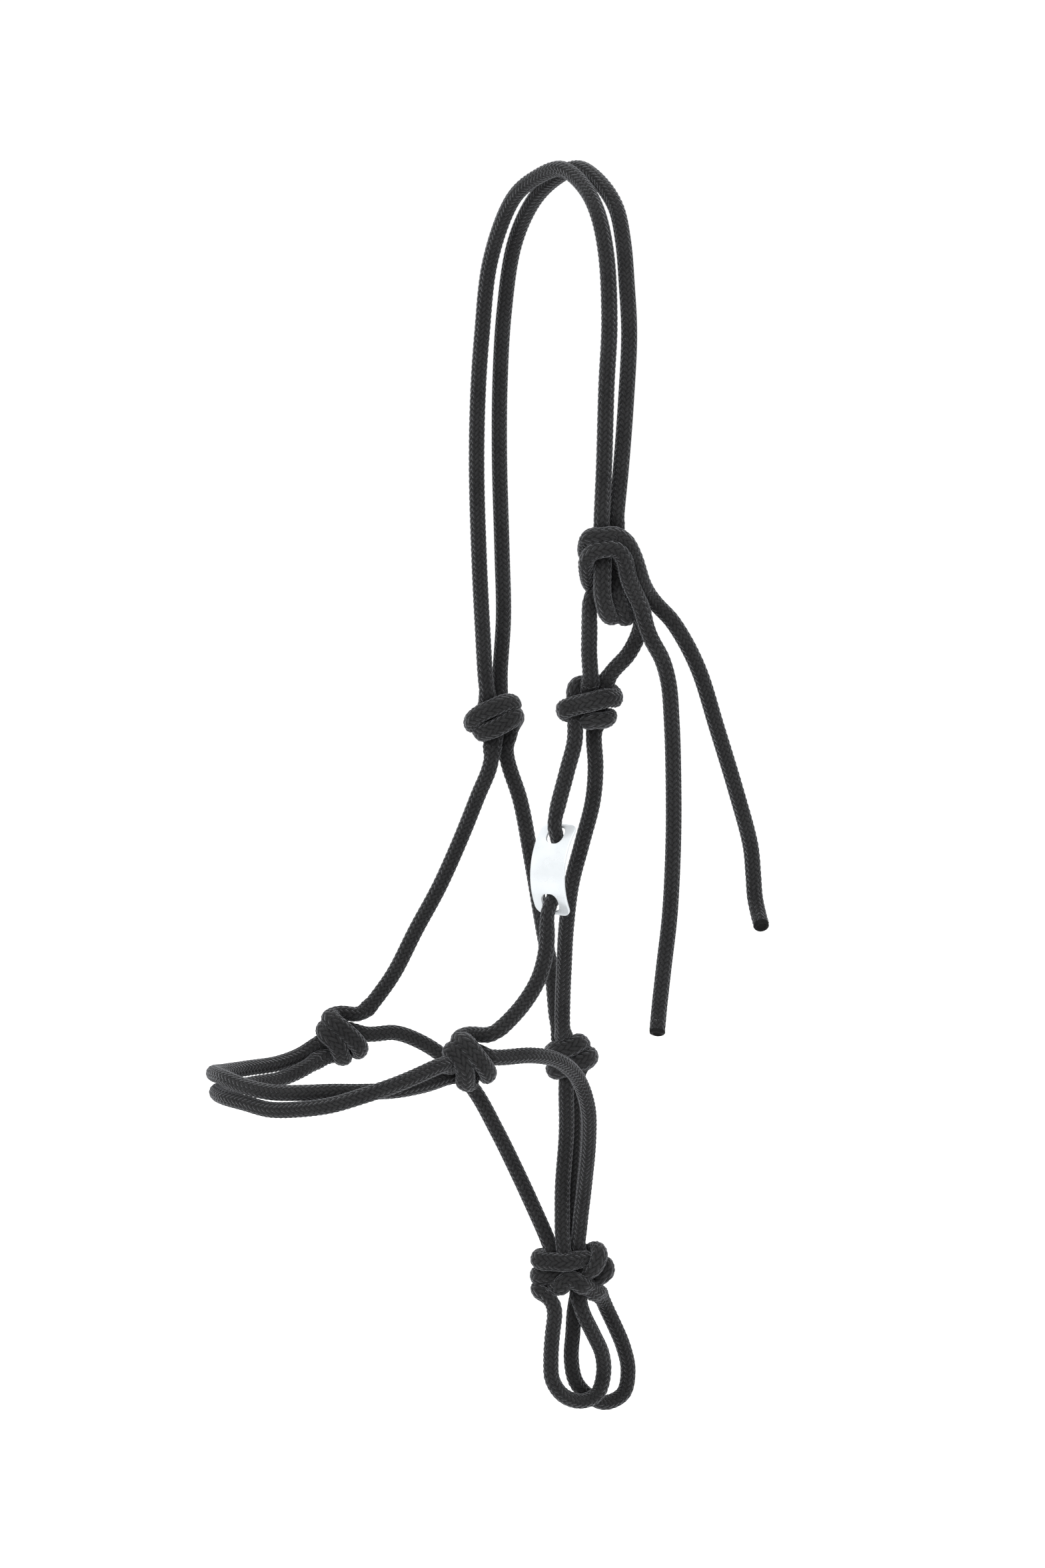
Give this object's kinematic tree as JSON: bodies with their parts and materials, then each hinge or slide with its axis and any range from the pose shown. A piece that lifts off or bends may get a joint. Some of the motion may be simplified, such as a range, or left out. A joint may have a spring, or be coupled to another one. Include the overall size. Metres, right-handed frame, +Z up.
{
  "type": "rope halter",
  "caption": "Knotted rope halter of one round braided cord, with crown tie, noseband, lead loops and a bent name plate on the near cheek.",
  "frame": {"origin": "underside of the crown over the poll, where the halter rests on the horse or hangs on a hook", "axes": "+Z up, -X forward to the noseband, -Y to the horse's near (left) side, where the crown is tied"},
  "size_m": [0.2841, 0.1992, 0.7091],
  "materials": {
    "rope": "braided polyester cord, matt charcoal black",
    "sealed_end": "melted cord end",
    "plate": "polished"
  },
  "bodies": {
    "root": {"crown_strand_front": "rope", "crown_strand_rear": "rope", "tie_loop_front": "rope", "tie_loop_rear": "rope", "cheek_strand_far": "rope", "throat_strand_far": "rope", "cheek_strand_near": "rope", "throat_strand_near": "rope", "chin_strand_far": "rope", "chin_strand_near": "rope", "fiador_strand_left": "rope", "fiador_strand_right": "rope", "cheek_knot_far": "rope", "cheek_knot_near": "rope", "nose_knot_far": "rope", "nose_knot_near": "rope", "throat_knot": "rope", "crown_tie_knot": "rope", "lead_knot": "rope"},
    "tail_long_end": {"tail_long": "rope", "tail_long_tip": "sealed_end"},
    "tail_short_end": {"tail_short": "rope", "tail_short_tip": "sealed_end"},
    "lead_loops": {"lead_loop_front": "rope", "lead_loop_rear": "rope"},
    "noseband": {"nose_strand_upper": "rope", "nose_strand_lower": "rope"},
    "plate": {"name_plate": "plate"}
  },
  "joints": [
    {"name": "tail_long_swing", "type": "hinge", "parent": "root", "child": "tail_long_end", "pos_m": [-0.001, -0.09, -0.241], "axis": [-1, 0, 0], "range_deg": [-6, 45]},
    {"name": "tail_short_swing", "type": "hinge", "parent": "root", "child": "tail_short_end", "pos_m": [0.005, -0.084, -0.224], "axis": [-1, 0, 0], "range_deg": [-6, 45]},
    {"name": "lead_loops_swing", "type": "hinge", "parent": "root", "child": "lead_loops", "pos_m": [0, 0.0005, -0.637], "axis": [1, 0, 0], "range_deg": [-12, 14]},
    {"name": "noseband_lift", "type": "hinge", "parent": "root", "child": "noseband", "pos_m": [-0.119, -0.0735, -0.47375], "axis": [-0.0715, 0.9869, -0.1446], "range_deg": [-15, 17], "stiffness_Nm_per_rad": 0.3, "springref_deg": 2.86},
    {"name": "name_plate_slide", "type": "slide", "parent": "root", "child": "plate", "axis": [0.1453, 0.1086, 0.9834], "range_m": [-0.006, 0.006], "deforming": ["cheek_strand_near"]}
  ]
}
